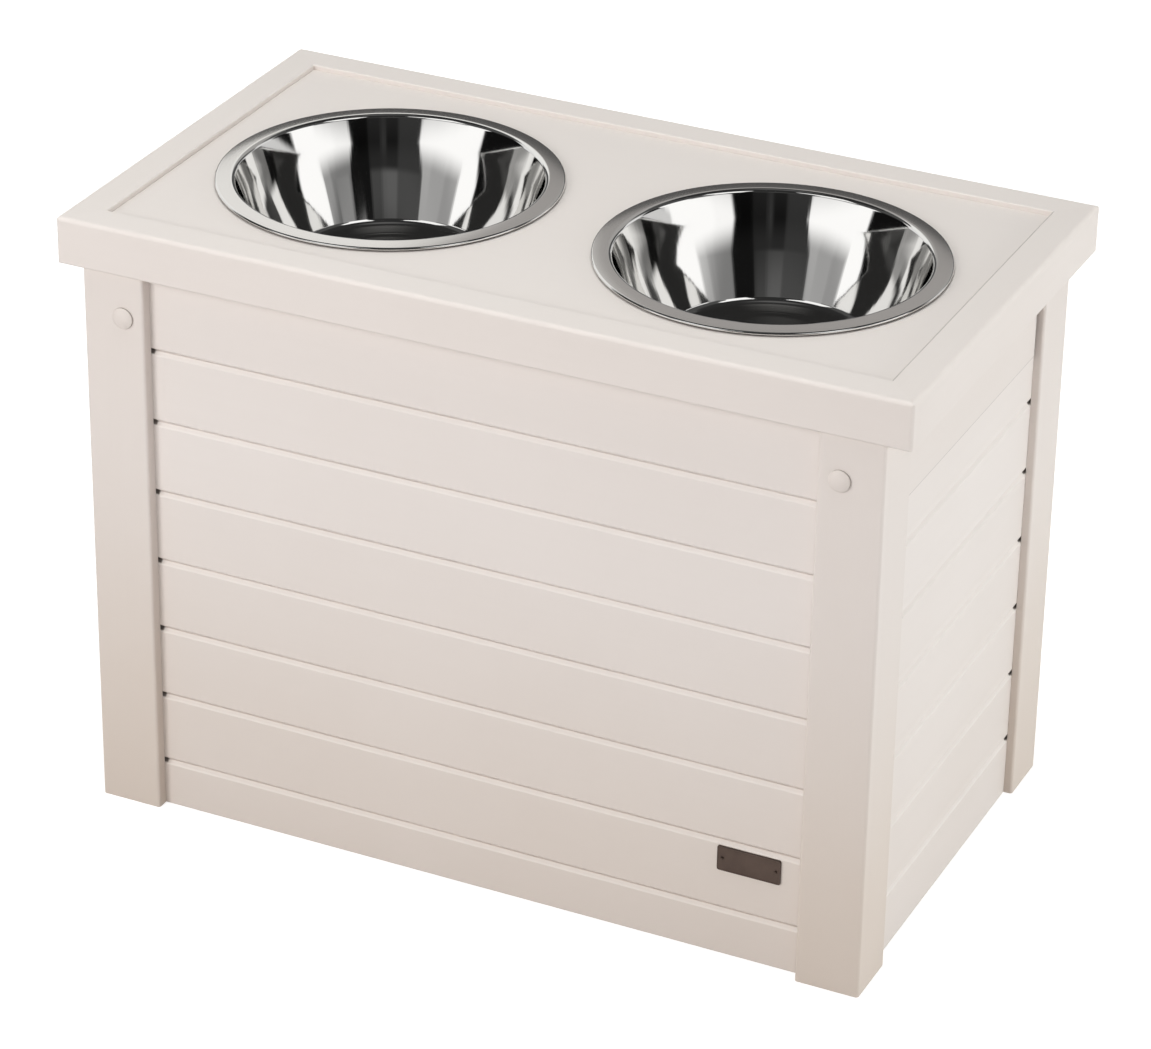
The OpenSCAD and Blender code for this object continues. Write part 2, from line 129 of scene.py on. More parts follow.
# %% A net of nodes, and a number that can be reckoned with
class Net:
    """The node net of one material or world."""

    def __init__(self, owner):
        owner.use_nodes = True
        self.tree = owner.node_tree
        self.tree.nodes.clear()

    def node(self, kind, settings=None, sockets=None):
        """Adds a node: its settings first, then the values or links of its sockets."""
        made = self.tree.nodes.new(kind)
        for name, value in (settings or {}).items():
            setattr(made, name, value)
        for name, value in (sockets or {}).items():
            self.feed(made.inputs[name], value)
        return made

    def feed(self, socket, value):
        """Links a socket or a Number, or writes a plain value."""
        if isinstance(value, Number):
            value = value.socket
        if isinstance(value, bpy.types.NodeSocket):
            self.tree.links.new(value, socket)
        elif socket.type == "RGBA" and len(value) == 3:
            socket.default_value = (*value, 1)
        else:
            socket.default_value = value

    def number(self, socket):
        return Number(self, socket)

    def place(self):
        """The place on the object, in metres."""
        return self.node("ShaderNodeTexCoord").outputs["Object"]

    def axes(self, vector):
        """The three numbers of a vector."""
        split = self.node("ShaderNodeSeparateXYZ", None, {0: vector})
        return [self.number(split.outputs[axis]) for axis in range(3)]

    def squeezed(self, vector, scale):
        """A place whose axes are squeezed, each by its own share."""
        return self.node("ShaderNodeMapping", None, {"Vector": vector, "Scale": scale}).outputs[0]

    def noise(self, vector, scale, detail, roughness=0.5):
        """Soft noise from 0 to 1."""
        sockets = {"Vector": vector, "Scale": scale, "Detail": detail, "Roughness": roughness}
        return self.number(self.node("ShaderNodeTexNoise", None, sockets).outputs[0])

    def colour_mix(self, share, first, second):
        """First colour at share 0, second at share 1."""
        settings = {"data_type": "RGBA", "blend_type": "MIX"}
        return self.node("ShaderNodeMix", settings, {0: share, 6: first, 7: second}).outputs[2]

    def bump(self, height, strength, depth, under=None):
        """A normal that shows the height as relief, on top of another bump where one is given."""
        sockets = {"Height": height, "Strength": strength, "Distance": depth}
        if under is not None:
            sockets["Normal"] = under
        return self.node("ShaderNodeBump", None, sockets).outputs[0]

    def show(self, shader):
        """Makes a shader what the material shows."""
        self.node("ShaderNodeOutputMaterial", None, {"Surface": shader.outputs[0]})

    def show_skin(self, sockets):
        """Makes a principled shader what the material shows."""
        self.show(self.node("ShaderNodeBsdfPrincipled", None, sockets))


class Number:
    """A number socket whose sums are Math nodes."""

    def __init__(self, net, socket):
        self.net = net
        self.socket = socket

    def sum_node(self, operation, *values):
        made = self.net.node("ShaderNodeMath", {"operation": operation}, dict(enumerate(values)))
        return Number(self.net, made.outputs[0])

    def __add__(self, other):
        return self.sum_node("ADD", self, other)

    __radd__ = __add__

    def __mul__(self, other):
        return self.sum_node("MULTIPLY", self, other)

    __rmul__ = __mul__

    def __sub__(self, other):
        return self.sum_node("SUBTRACT", self, other)

    def __rsub__(self, other):
        return self.sum_node("SUBTRACT", other, self)

    def __truediv__(self, other):
        return self.sum_node("DIVIDE", self, other)

    def to_power(self, power):
        return self.sum_node("POWER", self, power)

    def rounded_down(self):
        return self.sum_node("FLOOR", self)

    def size(self):
        return self.sum_node("ABSOLUTE", self)

    def remainder(self, length):
        """What is left over a whole number of lengths, never negative."""
        return self.sum_node("FLOORED_MODULO", self, length)

    def step(self, start, end):
        """0 below start, 1 above end, and a soft rise between."""
        settings = {"interpolation_type": "SMOOTHSTEP"}
        sockets = {"Value": self, "From Min": start, "From Max": end}
        made = self.net.node("ShaderNodeMapRange", settings, sockets)
        return Number(self.net, made.outputs[0])


def blend(share, first, second):
    """First number at share 0, second at share 1."""
    return first + share * (second - first)

def from_axis(x, y):
    """How far a place is from the upright axis."""
    return (x * x + y * y).to_power(0.5)

def srgb(red, green, blue):
    """A colour as a picture shows it, 0 to 255, as the linear values a shader takes."""
    shares = [v / 255 for v in (red, green, blue)]
    return tuple(v / 12.92 if v <= 0.04045 else ((v + 0.055) / 1.055) ** 2.4 for v in shares)

print("warm white in linear values", [round(v, 3) for v in srgb(228, 219, 212)])

# %% [markdown]
# ## World and floor
#
# The feeder stands on a plain pale floor against white. The white is what the camera and the metal see. Soft
# light that falls on the paint comes from the same world at a lower strength, so the background is bright
# and the paint isn't bleached. The floor adds a little light of its own for the camera and for reflections,
# which makes it white as well, and the rest of its brightness is real, so the feeder's shadow stays on it.
# Far off, where the lamps hardly reach, the floor glows a little more, or it would be a grey band under the
# white.

# %% World
def seen_share(net):
    """1 for what the camera, a reflection or glass looks at, 0 for light that falls on the paint."""
    path = net.node("ShaderNodeLightPath")
    seen = net.number(path.outputs["Is Camera Ray"]) + path.outputs["Is Glossy Ray"]
    return (seen + path.outputs["Is Transmission Ray"]).step(0, 1)

world = bpy.data.worlds.new("studio")
bpy.context.scene.world = world
net = Net(world)
sky_light = 0.30
strength = blend(seen_share(net), sky_light, 1)
sky = net.node("ShaderNodeBackground", None, {"Color": (1, 1, 1), "Strength": strength})
net.node("ShaderNodeOutputWorld", None, {"Surface": sky.outputs[0]})
print("light from the world", sky_light)

# %% Floor
def new_object(name, mesh_maker, material):
    """A mesh object from a function that fills a bmesh."""
    bm = bmesh.new()
    mesh_maker(bm)
    mesh = bpy.data.meshes.new(name)
    bm.to_mesh(mesh)
    bm.free()
    mesh.materials.append(material)
    made = bpy.data.objects.new(name, mesh)
    bpy.context.scene.collection.objects.link(made)
    return made

floor_half = 8
floor_drop = 0.0002
floor_colour = srgb(198, 195, 194)
floor_glow = 0.66
near_colour = (1, 1, 1)
far_colour = (1.35, 1.35, 1.35)
far_start = 1.6
far_end = 3.6

floor_paint = bpy.data.materials.new("studio floor")
net = Net(floor_paint)
across, deep = net.axes(net.place())[:2]
far = from_axis(across, deep).step(far_start, far_end)
plain = net.node("ShaderNodeBsdfDiffuse", None, {"Color": floor_colour})
glow = net.node("ShaderNodeEmission", None, {
    "Color": net.colour_mix(far, near_colour, far_colour), "Strength": floor_glow * seen_share(net),
})
net.show(net.node("ShaderNodeAddShader", None, {0: plain.outputs[0], 1: glow.outputs[0]}))

def fill_floor(bm):
    bmesh.ops.create_grid(bm, x_segments=1, y_segments=1, size=floor_half)
    bmesh.ops.translate(bm, vec=(0, 0, -floor_drop), verts=bm.verts)

new_object("floor", fill_floor, floor_paint)
print("floor half width", floor_half, "m")

# %% [markdown]
# ## Lamps
#
# Five soft panels light the feeder flat, as for a catalogue. The key stands at the front left, so each cap
# and each recessed edge has a thin shade at its right. A weak one by the camera opens the shadows. One hangs
# overhead, mostly for the lid. One stands low at the right, just behind the front wall's plane, so the
# narrow faces beside the posts stay dark. One stands low behind the feeder, for views from the back.
# Reflections don't see the panels, because the steel has cards of its own.

# %% Soft panels
def soft_panel(name, azimuth_deg, elevation_deg, power, colour=(1, 1, 1), away=2.2, width=0.8):
    """A square area lamp that looks at the middle of the feeder."""
    turn = math.radians(azimuth_deg)
    rise = math.radians(elevation_deg)
    way = Vector((math.sin(turn) * math.cos(rise), -math.cos(turn) * math.cos(rise), math.sin(rise)))
    target = Vector((0, 0, lid_high.z / 2))
    lamp = bpy.data.lights.new(name, "AREA")
    lamp.size = width
    lamp.energy = power
    lamp.color = colour
    made = bpy.data.objects.new(name, lamp)
    made.location = target + away * way
    made.rotation_euler = way.to_track_quat("Z", "Y").to_euler()
    made.visible_glossy = False
    made.visible_camera = False
    bpy.context.scene.collection.objects.link(made)
    return made

cool_white = (0.96, 1, 1)
lamps = [
    soft_panel("key panel", -25, 24, power=20.4),
    soft_panel("panel by the camera", 25, 30, power=7.4),
    soft_panel("overhead panel", 0, 89, power=17.9, colour=(0.95, 1, 1), away=2.0, width=1.2),
    soft_panel("end panel", 100, 8, power=22.3, colour=cool_white),
    soft_panel("back panel", 216, 6, power=15.0, colour=cool_white),
]
print(len(lamps), "soft panels,", round(sum(lamp.data.energy for lamp in lamps), 1), "W in all")

# %% [markdown]
# ## What the steel sees
#
# Polished steel has no look of its own: it shows the room. A photographer stands black and white cards round
# such a bowl, and their edges are the dark and bright bands on its wall. Here the cards are one round
# screen, a long step away from the feeder. They stand in four rows over each other: low, middle, high and
# top. In each row the brightness changes from one compass direction to the next, and many edges lean, which
# bends the bands. One more card lies low at the right and behind, and the ceiling over it all is dark. Only
# reflections see the screen, so it neither lights the paint nor shows in the picture, and it stays where it
# is when the camera moves.

# %% Cards round the feeder
screen_away = 1.7
screen_low = -4
screen_top = 53
card_softness = 1.6

# Where each card of the three lower rows starts, in degrees from the front, how far that edge leans over in
# ten degrees of height, and how bright the card is in the low, the middle and the high row
cards = [
    (-180, 0, 0.10, 0.10, 0.32),
    (-118, 0, 0.90, 0.90, 0.90),
    (-88, 0, 0.006, 0.006, 0.012),
    (-51, -6, 1.25, 1.25, 0.05),
    (-38, 0, 1.25, 0.36, 0.05),
    (-26, 0, 1.25, 0.42, 0.45),
    (-12, 0, 1.25, 0.48, 0.45),
    (1, -4, 0.035, 0.045, 0.080),
    (17, 0, 0.008, 0.025, 0.13),
    (27, 0, 0.040, 0.030, 0.12),
    (31, 0, 0.012, 0.025, 0.07),
    (42, 0, 0.003, 0.008, 0.008),
    (55, 4, 1.20, 0.24, 0.30),
    (70, 4, 1.25, 0.26, 0.12),
    (80, 0, 1.25, 0.38, 0.08),
    (88, 0, 1.25, 1.25, 0.06),
    (109, 5, 0.006, 0.006, 0.10),
    (128, 0, 0.90, 0.90, 0.40),
    (150, 0, 0.10, 0.10, 0.32),
]

# The same for the top row, which has one brightness
top_cards = [
    (-180, 0, 0.08),
    (-40, 0, 1.20),
    (-9, 16, 0.03),
    (50, -4, 1.25),
    (72, 16, 0.08),
]

# Heights in degrees over the lid: the soft steps from row to row, and where the edges start and stop leaning
to_middle = (10, 22)
to_high = (23, 27)
to_high_behind = (20.5, 24)
to_top = (28, 32)
lean_heights = (10, 20)
lean_stop = 1.8
top_lean_heights = (33, 47)

# Compass degrees where behind starts, and the low card at the right: its start, its top and its brightness
behind_start = (112, 118)
under_start = (100, 104)
under_top = (5, 7)
under_light = 0.75

def glossy_only(name, fill, colour_maker):
    """A glowing surface that only reflections see. The maker gives its colour from the place on it."""
    finish = bpy.data.materials.new(name)
    net = Net(finish)
    net.show(net.node("ShaderNodeEmission", None, {"Color": colour_maker(net, *net.axes(net.place()))}))
    made = new_object(name, fill, finish)
    for unseen in ("camera", "diffuse", "transmission", "volume_scatter", "shadow"):
        setattr(made, "visible_" + unseen, False)
    return made

def screen_height(degrees):
    return lid_high.z + screen_away * math.tan(math.radians(degrees))

def climb(z, heights):
    """0 below the first height in degrees, 1 above the second."""
    return z.step(screen_height(heights[0]), screen_height(heights[1]))

def card_row(compass, rise, row_cards):
    """Brightness along the compass: card by card, each one covers the last from its own leaning edge on."""
    light = row_cards[0][2]
    for edge, lean, brightness in row_cards[1:]:
        past = (compass - lean * rise).step(edge - card_softness, edge + card_softness)
        light = blend(past, light, brightness)
    return light

def screen_colour(net, x, y, z):
    """The four rows of cards and the low card at the right, from the compass direction and the height."""
    compass = x.sum_node("ARCTAN2", x, 0 - y) * math.degrees(1)
    lean_low, lean_high = (screen_height(v) for v in lean_heights)
    rise = (z - lean_low) / (lean_high - lean_low)
    rise = blend(climb(z, (to_top[0], to_top[0] + 0.1)), rise, lean_stop)
    low, middle, high = (
        card_row(compass, rise, [(edge, lean, light[row]) for edge, lean, *light in cards])
        for row in range(3)
    )
    top = card_row(compass, climb(z, top_lean_heights), top_cards)
    under = (1 - climb(z, under_top)) * compass.step(*under_start)
    behind = compass.size().step(*behind_start)
    low = blend(under, low, under_light)
    light = blend(climb(z, to_middle), low, middle)
    light = blend(blend(behind, climb(z, to_high), climb(z, to_high_behind)), light, high)
    light = blend(climb(z, to_top), light, top)
    return net.node("ShaderNodeCombineColor", None, {0: light, 1: light, 2: light}).outputs[0]

def fill_screen(bm):
    ends = [bm.verts.new((0, screen_away, screen_height(rise))) for rise in (screen_low, screen_top)]
    edge = bm.edges.new(ends)
    bmesh.ops.spin(
        bm, geom=ends + [edge], cent=(0, 0, 0), axis=(0, 0, 1), angle=math.tau,
        steps=120, use_merge=True, use_duplicate=False,
    )

glossy_only("card screen", fill_screen, screen_colour)
print(len(cards), "cards and", len(top_cards), "over them at", screen_away, "m")

# %% Ceiling over the bowls, dark but for a faint glow in the middle
ceiling_glow = (0.13, 0.13, 0.13)
ceiling_dark = (0.03, 0.03, 0.03)
ceiling_fade = (0.1, 0.8)

def ceiling_colour(net, x, y, z):
    return net.colour_mix(from_axis(x, y).step(*ceiling_fade), ceiling_glow, ceiling_dark)

def fill_ceiling(bm):
    bmesh.ops.create_circle(bm, cap_ends=True, segments=64, radius=screen_away)
    bmesh.ops.translate(bm, vec=(0, 0, screen_height(screen_top)), verts=bm.verts)

glossy_only("ceiling", fill_ceiling, ceiling_colour)
print("ceiling at", round(screen_height(screen_top), 2), "m")

# %% [markdown]
# The flanges face up, so they show what stands high behind the feeder. One card there, close enough that
# each bowl sees its own part of it, is bright on the left and less than half as bright on the right. It ends
# above the line of sight of the far flanges, which stay dark.

# %% Card behind the bowls
back_card_away = 0.75
back_card_heights = (20, 50)
back_card_half = 0.9
back_card_roll = 8
back_card_change = (-0.18, -0.02)
back_card_left = (1.0, 1.0, 0.98)
back_card_right = (0.43, 0.42, 0.41)

def turn_mesh(bm, degrees, axis):
    turn = Matrix.Rotation(math.radians(degrees), 3, axis)
    bmesh.ops.rotate(bm, cent=(0, 0, 0), matrix=turn, verts=bm.verts)

def back_card_colour(net, x, y, z):
    across = x * math.cos(azimuth) + y * math.sin(azimuth)
    return net.colour_mix(across.step(*back_card_change), back_card_left, back_card_right)

def fill_back_card(bm):
    """An upright card square to the camera's direction, rolled a little in its own plane."""
    low, top = (lid_high.z + back_card_away * math.tan(math.radians(v)) for v in back_card_heights)
    bmesh.ops.create_grid(bm, x_segments=1, y_segments=1, size=1)
    bmesh.ops.scale(bm, vec=(back_card_half, (top - low) / 2, 1), verts=bm.verts)
    turn_mesh(bm, back_card_roll, "Z")
    turn_mesh(bm, 90, "X")
    bmesh.ops.translate(bm, vec=(0, back_card_away, (low + top) / 2), verts=bm.verts)
    turn_mesh(bm, math.degrees(azimuth), "Z")

glossy_only("card behind", fill_back_card, back_card_colour)
print("card behind at", back_card_away, "m")

# %% [markdown]
# ## Painted wood
#
# Every wooden piece is sprayed with the same warm off-white satin paint. It isn't one flat colour: each
# board takes it a little differently, handled pieces are a little more worn and warmer, the grain still
# shows as faint long lines, and a painted shade makes the paint darker and warmer toward the foot. At a
# joint the two chamfers make a groove. The upper lip of each board is painted paler as a painted highlight,
# an uneven dark line of dust sits in the joint itself, and where a groove runs into a post a dark spot of
# painted shade ends it. Painted shade also draws a thin dark line along a few joins: under the top beam,
# along the inside of the lid's right rail, and at the foot of the caps. The grain has to run along the
# piece, so there is one paint for pieces that lie along X, one along Y and one for the upright posts, made
# by one function.

# %% The paint, by the direction of the grain
paint_colour = srgb(229, 221, 216)
shade_colour = srgb(214, 203, 195)
lip_highlight_colour = srgb(248, 242, 237)
joint_colour = srgb(166, 150, 137)
# Dark colour of the painted shade at the groove ends and along a few joins
painted_shade_colour = srgb(70, 58, 50)
# Warm darker colour of the painted shade toward the foot, and the height where it ends
foot_shade_colour = srgb(208, 193, 179)
foot_shade_height = 0.30
vee = 0.0026

# Soft steps in metres over the middle of a joint, or to both sides of it where a name says half
lip_highlight_start = (-1.25 * vee, -0.85 * vee)
lip_highlight_end = (-0.0004, 0.0002)
dust_half = (0.0001, 0.0006)
dust_patches = (0.42, 0.60)
notch_shade_half = (0.0014, 0.0024)

# How far from the end of a board the painted shade at the groove's end starts and is full
notch_shade_length = (0.0028, 0.0012)
notch_shade_share = 0.85
# Half width of a line of painted shade along a join
shade_line_half = 0.0013
rim_width = 0.024

def joint_marks(net, colour, height, reach, clouds, joint, half_length, lip, dust):
    """Draws what marks each joint of a wall. Reach is the distance from the middle of the boards."""
    over_joint = (height - joint + board_pitch / 2).remainder(board_pitch) - board_pitch / 2
    # Painted highlight: the upper chamfer of the lower board is painted paler, as if lit from above
    on_lip_highlight = over_joint.step(*lip_highlight_start) * (1 - over_joint.step(*lip_highlight_end))
    colour = net.colour_mix(lip * on_lip_highlight, colour, lip_highlight_colour)
    in_joint = 1 - over_joint.size().step(*dust_half)
    uneven = 0.3 + 0.7 * clouds.step(*dust_patches)
    colour = net.colour_mix(dust * in_joint * uneven, colour, joint_colour)
    # Painted shade: a dark spot where each groove meets a post, in place of the shaded gap there
    at_end = reach.step(half_length - notch_shade_length[0], half_length - notch_shade_length[1])
    notch_shade = at_end * (1 - over_joint.size().step(*notch_shade_half))
    return net.colour_mix(notch_shade_share * notch_shade, colour, painted_shade_colour)

def wood_paint(name, along, worn=0.12, bloom=0.5, joint=None, ends=None, lip=0.0, dust=0.0, shade_lines=()):
    """Satin paint over wood whose grain runs along an axis: 0 is X, 1 is Y, 2 is Z.

    Worn is the share of the warmer tone, and bloom the share of painted shade toward the foot. A wall of
    boards gives the height of a joint, the places of its boards' ends, how strong the painted highlight on its
    lips is, and how dusty its joints are. A shade line is an axis, a place on it, and how dark its painted
    shade is.
    """
    made = bpy.data.materials.new(name)
    net = Net(made)
    place = net.place()
    axes = net.axes(place)
    height = axes[2]
    squeeze = [90, 90, 90]
    squeeze[along] = 3
    grain = net.noise(net.squeezed(place, squeeze), 3.0, 4.0, 0.6)
    clouds = net.noise(place, 7.0, 3.0)
    spray = net.noise(place, 900.0, 2.0, 0.6)
    tone = 0.22 * (clouds - 0.5) + 0.10 * (grain - 0.5) + worn
    if joint is not None:
        board = ((height - joint) / board_pitch).rounded_down()
        pick = net.node("ShaderNodeTexWhiteNoise", {"noise_dimensions": "1D"}, {"W": board})
        tone = tone + 0.10 * (net.number(pick.outputs[0]) - 0.5)
    colour = net.colour_mix(tone, paint_colour, shade_colour)
    # Painted shade: the paint turns darker and warmer toward the foot
    low = bloom * (1 - height.step(0, foot_shade_height)) * (0.8 + 0.4 * clouds)
    colour = net.colour_mix(low, colour, foot_shade_colour)
    if joint is not None:
        reach = (axes[along] - (ends[0] + ends[1]) / 2).size()
        half_length = (ends[1] - ends[0]) / 2
        colour = joint_marks(net, colour, height, reach, clouds, joint, half_length, lip, dust)
    # Painted shade: a thin dark line along each given join, where a shadow falls
    for axis, shade_line_place, share in shade_lines:
        away = (axes[axis] - shade_line_place).size()
        colour = net.colour_mix(share * (1 - away.step(0.5 * shade_line_half, shade_line_half)), colour, painted_shade_colour)
    net.show_skin({
        "Base Color": colour,
        "Roughness": 0.40 + 0.10 * clouds + 0.06 * spray,
        "Normal": net.bump(0.5 * grain + 0.35 * spray, 0.12, 0.0004),
        "IOR": 1.46,
        "Specular IOR Level": 0.35,
    })
    return made

# Painted shade under the top beam and along the inside of the lid's right rail
shade_under_beam = (2, beam_low_z, 0.6)
shade_inside_rail = (0, lid_high.x - rim_width, 0.5)
paint_x = wood_paint("paint, grain left to right", 0, worn=0.28)
paint_y = wood_paint("paint, grain front to back", 1, worn=0.32)
paint_z = wood_paint("paint, grain upright", 2, worn=0.39, bloom=0.70)
beam_paint = wood_paint("beam paint", 1, worn=0.32, shade_lines=[shade_under_beam])
right_rail_paint = wood_paint("right rail paint", 1, worn=0.32, shade_lines=[shade_inside_rail])
front_board_paint = wood_paint(
    "front and back board paint", 0, bloom=0.45, joint=front_joint, ends=front_ends, lip=0.35, dust=0.22,
)
# The side boards' joints get only the painted highlight, which lightens the shade in their grooves
side_board_paint = wood_paint(
    "side board paint", 1, bloom=0.2, joint=side_joint, ends=side_ends, lip=0.5, shade_lines=[shade_under_beam],
)
print("seven paints from one function")

# %% [markdown]
# ## Eased edges
#
# A saw leaves an edge that cuts the hand, so every painted piece is sanded before it is sprayed, and the
# fine round catches the light. A CAD mesh is loose triangles, so a copy is merged first and its flat
# triangles are joined. Then the bevel operator rounds the long edges. Short edges belong to bored holes and
# to curves that are round already, and they are left alone.

# %% Ease one piece
ease_width = 0.0004
long_edge = 0.0024
merge_reach = 0.000001
flat_angle = math.radians(1)
corner_angle = math.radians(30)

def eased(node, paint, body):
    """A sanded and painted copy of a CAD piece, which stands for it."""
    def fill(bm):
        bm.from_mesh(nodes[node].data)
        bmesh.ops.remove_doubles(bm, verts=bm.verts, dist=merge_reach)
        bmesh.ops.dissolve_limit(bm, angle_limit=flat_angle, verts=bm.verts, edges=bm.edges)
        corners = [
            edge for edge in bm.edges
            if edge.calc_face_angle(0) > corner_angle and edge.calc_length() > long_edge
        ]
        bmesh.ops.bevel(
            bm, geom=corners, affect="EDGES", offset=ease_width, segments=2, profile=0.5, material=-1,
            clamp_overlap=True,
        )
        bmesh.ops.recalc_face_normals(bm, faces=bm.faces)
        for face in bm.faces:
            face.material_index = 0
            face.smooth = False
    made = new_object(node + "_sanded", fill, paint)
    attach(made, body)
    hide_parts(node)
    return made

print("edges eased by", ease_width * 1000, "mm")

# %% Ease and paint every wooden piece of the body and the lid
body_paints = {
    "post_": paint_z,
    "side_beam": beam_paint,
    "front_board": front_board_paint,
    "back_board": front_board_paint,
    "left_board": side_board_paint,
    "right_board": side_board_paint,
}
lid_paints = {
    "lid_front_rail": paint_x,
    "lid_back_rail": paint_x,
    "lid_left_rail": paint_y,
    "lid_right_rail": right_rail_paint,
    "lid_panel": paint_x,
}
sanded = []
for node in sorted(nodes):
    if "leaf" in node:
        continue
    for start, paint in body_paints.items():
        if node.startswith(start):
            sanded.append(eased(node, paint, "cabinet"))
    if node in lid_paints:
        sanded.append(eased(node, lid_paints[node], "lid"))
print(len(sanded), "sanded pieces,", sum(len(o.data.polygons) for o in sanded), "faces")

# %% Painted caps over the bolt heads
# Painted shade round the foot of each cap, where the cap meets the post
cap_paint = wood_paint("cap paint", 2, worn=0.50, shade_lines=[(1, y, 0.5) for y in post_faces_y])
nodes["bolt_caps"].data.materials[0] = cap_paint
print("caps painted")

# %% [markdown]
# ## Bare wood
#
# The storage floor and the cleats under it aren't painted. Pine shows as pale wood with darker, wavy lines
# along the grain, so a wave texture is bent by noise and stretched along the board.

# %% Pine for the storage floor and its cleats
pine_light = srgb(222, 194, 150)
pine_dark = srgb(188, 148, 98)
ring_squeeze = (1.2, 16, 16)
fibre_squeeze = (12, 500, 500)

pine = bpy.data.materials.new("bare pine")
net = Net(pine)
place = net.place()
rings = net.number(net.node("ShaderNodeTexWave", {"wave_type": "BANDS", "bands_direction": "Y"}, {
    "Vector": net.squeezed(place, ring_squeeze),
    "Scale": 1.3, "Distortion": 5.0, "Detail": 3.0, "Detail Scale": 1.4,
}).outputs["Fac"])
fibre = net.noise(net.squeezed(place, fibre_squeeze), 1.0, 3.0)
share = 0.55 * rings + 0.35 * fibre
net.show_skin({
    "Base Color": net.colour_mix(share, pine_light, pine_dark),
    "Roughness": 0.55 + 0.2 * fibre,
    "Normal": net.bump(share, 0.2, 0.0005),
})
for node in ("floor_panel", "floor_cleat_front", "floor_cleat_back"):
    nodes[node].data.materials[0] = pine
print("pine on the storage floor")

# %% [markdown]
# ## Zinc-plated hardware
#
# Hinges, screws and bolts are plated steel: a cool grey metal whose plating is slightly cloudy and never
# quite smooth. One function makes it, lighter for the hinge leaves and darker for the bolts.

# %% Plated steel
def plated_steel(name, light, dark, roughness):
    made = bpy.data.materials.new(name)
    net = Net(made)
    bloom = net.noise(net.place(), 260.0, 4.0, 0.65)
    net.show_skin({
        "Base Color": net.colour_mix(bloom, light, dark),
        "Metallic": 1.0,
        "Roughness": roughness + 0.2 * bloom,
        "Normal": net.bump(bloom, 0.15, 0.0002),
    })
    return made

leaf_steel = plated_steel("plated hinge", srgb(205, 205, 202), srgb(170, 170, 168), 0.22)
screw_steel = plated_steel("plated screw", srgb(190, 188, 182), srgb(150, 149, 146), 0.24)
bolt_steel = plated_steel("plated bolt", srgb(150, 150, 152), srgb(112, 112, 116), 0.30)
for node in ("post_leaf_left", "post_leaf_right", "lid_leaf_left", "lid_leaf_right"):
    nodes[node].data.materials[0] = leaf_steel
for node in ("hinge_pin_left", "hinge_pin_right", "post_leaf_screws", "lid_leaf_screws", "cleat_screws"):
    nodes[node].data.materials[0] = screw_steel
for node in ("beam_bolts", "barrel_nuts"):
    nodes[node].data.materials[0] = bolt_steel
print("hardware plated")

# %% [markdown]
# ## Bowls
#
# A bowl is spun from one steel disc. Its section is a line: the rolled bead, the sloping flange, the
# shoulder, the tapered wall, the foot and the raised disc in the bottom. The line is drawn with round
# corners, spun about the bowl's axis, and given the steel's thickness by the solidify operator.

# %% The line of the bowl's section, with round corners
steel = 0.0009
bead_radius = 0.0013
bead_gap = 0.00025
rim_radius = (bowl_high.x - bowl_low.x) / 2
mouth_radius = 0.102
knee_radius = 0.093
knee_depth = 0.025
foot_radius = 0.0745
disc_outer = 0.060
disc_inner = 0.051
disc_rise = 0.0015
flange_slope = math.radians(4)
depth = field_z - bowl_low.z - steel / 2
shoulder_round = 0.003
knee_round = 0.180
foot_round = 0.0065
disc_round = 0.020

def rounded(before, corner, after, radius, count):
    """Points of the arc that rounds a corner of a flat line."""
    toward = (before - corner).normalized()
    onward = (after - corner).normalized()
    half = toward.angle(onward) / 2
    middle = corner + (toward + onward).normalized() * radius / math.sin(half)
    start = corner + toward * radius / math.tan(half) - middle
    end = corner + onward * radius / math.tan(half) - middle
    turn = start.angle_signed(end)
    return [middle + Matrix.Rotation(-turn * k / count, 2) @ start for k in range(count + 1)]

def bowl_section():
    """Middle line of the steel: distance from the axis, height over the lid's field."""
    bead_line = bead_radius - steel / 2
    bead_centre = Vector((rim_radius - bead_radius, bead_gap + bead_radius))
    line = []
    for degrees in range(-165, 76, 15):
        turn = math.radians(degrees)
        line.append(bead_centre + bead_line * Vector((math.cos(turn), math.sin(turn))))
    leave = math.pi / 2 - flange_slope
    bead_end = bead_centre + bead_line * Vector((math.cos(leave), math.sin(leave)))
    mouth = mouth_radius + steel / 2
    shoulder = Vector((mouth, bead_end.y + (bead_end.x - mouth) * math.tan(flange_slope)))
    knee = Vector((knee_radius + steel / 2, -knee_depth))
    foot = Vector((foot_radius, -depth))
    outer = Vector((disc_outer, -depth))
    inner = Vector((disc_inner, -depth + disc_rise))
    middle = Vector((0, -depth + disc_rise))
    line.append(bead_end)
    line += rounded(bead_end, shoulder, knee, shoulder_round, 10)
    line += rounded(shoulder, knee, foot, knee_round, 24)
    line += rounded(knee, foot, outer, foot_round, 10)
    line += rounded(foot, outer, inner, disc_round, 4)
    line += rounded(outer, inner, middle, disc_round, 4)
    line.append(middle)
    return line

def shifted(line, by):
    """The same line moved sideways, to the right of the way it runs for a positive distance."""
    moved = []
    for k, point in enumerate(line):
        way = (line[min(k + 1, len(line) - 1)] - line[max(k - 1, 0)]).normalized()
        moved.append(point + by * Vector((way.y, -way.x)))
    moved[-1].x = 0
    return moved

section = bowl_section()
print(len(section), "points in the section, rim radius", round(rim_radius, 4))

# %% [markdown]
# The wall is polished, with slow dents that make the bands waver and fade out toward the middle of the
# bottom. The flange has a fine satin with faint rings from the tool. A painted shade under the bead draws a
# thin dark line round the rim. Both bowls share one steel, so it measures every place from the axis of its
# own bowl.

